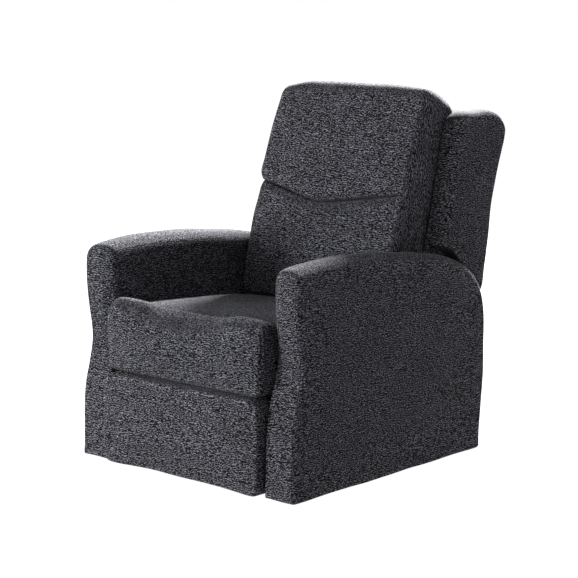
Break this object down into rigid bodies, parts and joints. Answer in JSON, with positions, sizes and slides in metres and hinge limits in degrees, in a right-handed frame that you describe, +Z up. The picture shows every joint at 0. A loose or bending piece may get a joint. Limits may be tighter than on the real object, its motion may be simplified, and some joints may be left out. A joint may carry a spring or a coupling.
{
  "type": "recliner armchair",
  "caption": "Upholstered recliner armchair with padded pillar arms, pillow back, shell wings and a fold-out footrest on a steel linkage.",
  "frame": {"origin": "on the floor, under the middle of the closed chair's overall box", "axes": "+Z up, the chair faces -Y, +X is the occupant's left"},
  "size_m": [0.8, 1.03, 1.0479],
  "materials": {
    "upholstery": "charcoal melange woven upholstery, matte with a faint sheen",
    "frame_wood": "raw plywood and pine, planed",
    "mechanism_steel": "satin black powder coat",
    "spring_steel": "bright drawn wire",
    "glide_metal": "nickel plated, satin",
    "webbing": "elastic webbing, matte",
    "cambric": "black non-woven dust cloth",
    "release_plastic": "fine-textured black moulding"
  },
  "bodies": {
    "base": {"arm_cover_l": "upholstery", "arm_cover_r": "upholstery", "arm_board_l": "frame_wood", "arm_board_r": "frame_wood", "arm_front_post_l": "frame_wood", "arm_front_post_r": "frame_wood", "arm_rear_post_l": "frame_wood", "arm_rear_post_r": "frame_wood", "arm_top_rail_l": "frame_wood", "arm_top_rail_r": "frame_wood", "base_front_rail": "frame_wood", "base_rear_rail": "frame_wood", "dust_cover": "cambric", "glide_front_l": "glide_metal", "glide_front_r": "glide_metal", "glide_rear_l": "glide_metal", "glide_rear_r": "glide_metal", "mech_base_plate_l": "mechanism_steel", "mech_base_plate_r": "mechanism_steel", "release_bezel": "release_plastic", "release_cable": "release_plastic"},
    "seat": {"seat_plate_l": "mechanism_steel", "seat_plate_r": "mechanism_steel", "seat_side_rail_l": "frame_wood", "seat_side_rail_r": "frame_wood", "seat_front_rail": "frame_wood", "seat_rear_rail": "frame_wood", "seat_spring_1": "spring_steel", "seat_spring_2": "spring_steel", "seat_spring_3": "spring_steel", "seat_cushion": "upholstery", "seat_border": "upholstery"},
    "front_links": {"front_link_l": "mechanism_steel", "front_link_r": "mechanism_steel", "drive_tube": "mechanism_steel"},
    "rear_links": {"rear_link_l": "mechanism_steel", "rear_link_r": "mechanism_steel"},
    "outer_links": {"outer_link_l": "mechanism_steel", "outer_link_r": "mechanism_steel"},
    "upper_links": {"upper_link_l": "mechanism_steel", "upper_link_r": "mechanism_steel"},
    "footrest": {"footrest_bracket_l": "mechanism_steel", "footrest_bracket_r": "mechanism_steel", "footrest_board": "frame_wood", "footrest_pad": "upholstery"},
    "back": {"back_post_l": "frame_wood", "back_post_r": "frame_wood", "back_top_rail": "frame_wood", "back_bottom_rail": "frame_wood", "back_strap_1": "webbing", "back_strap_2": "webbing", "back_bracket_l": "mechanism_steel", "back_bracket_r": "mechanism_steel", "lumbar_cushion": "upholstery", "head_pillow": "upholstery", "wing_l": "upholstery", "wing_r": "upholstery", "outside_back": "upholstery"},
    "lever": {"release_lever": "release_plastic"}
  },
  "joints": [
    {"name": "seat_slide", "type": "slide", "parent": "base", "child": "seat", "axis": [0, -0.9976, 0.0698], "range_m": [0, 0.045]},
    {"name": "back_recline", "type": "hinge", "parent": "seat", "child": "back", "pos_m": [0, 0.16, 0.28], "axis": [-1, 0, 0], "range_deg": [0, 26]},
    {"name": "footrest_open", "type": "hinge", "parent": "seat", "child": "front_links", "pos_m": [0, -0.2271, 0.2961], "axis": [-1, 0, 0], "range_deg": [0, 88]},
    {"name": "rear_link_turn", "type": "hinge", "parent": "seat", "child": "rear_links", "pos_m": [0, -0.28892, 0.3192], "axis": [-1, 0, 0], "range_deg": [0, 88]},
    {"name": "outer_link_turn", "type": "hinge", "parent": "front_links", "child": "outer_links", "pos_m": [0, -0.1656, 0.0782], "axis": [1, 0, 0], "range_deg": [0, 88]},
    {"name": "upper_link_turn", "type": "hinge", "parent": "front_links", "child": "upper_links", "pos_m": [0, -0.1706, 0.1312], "axis": [1, 0, 0], "range_deg": [0, 88]},
    {"name": "footrest_turn", "type": "hinge", "parent": "outer_links", "child": "footrest", "pos_m": [0, -0.415, 0.1714], "axis": [-1, 0, 0], "range_deg": [0, 88]},
    {"name": "lever_pull", "type": "hinge", "parent": "base", "child": "lever", "pos_m": [-0.3865, -0.15, 0.42], "axis": [0, 0, -1], "range_deg": [0, 25], "stiffness_Nm_per_rad": 0.5}
  ],
  "couplings": [
    {"joint": "back_recline", "follows": "seat_slide", "rad_per_m": 10.08},
    {"joint": "rear_link_turn", "follows": "footrest_open", "ratio": 1},
    {"joint": "outer_link_turn", "follows": "footrest_open", "ratio": 1},
    {"joint": "upper_link_turn", "follows": "footrest_open", "ratio": 1},
    {"joint": "footrest_turn", "follows": "footrest_open", "ratio": 1}
  ]
}
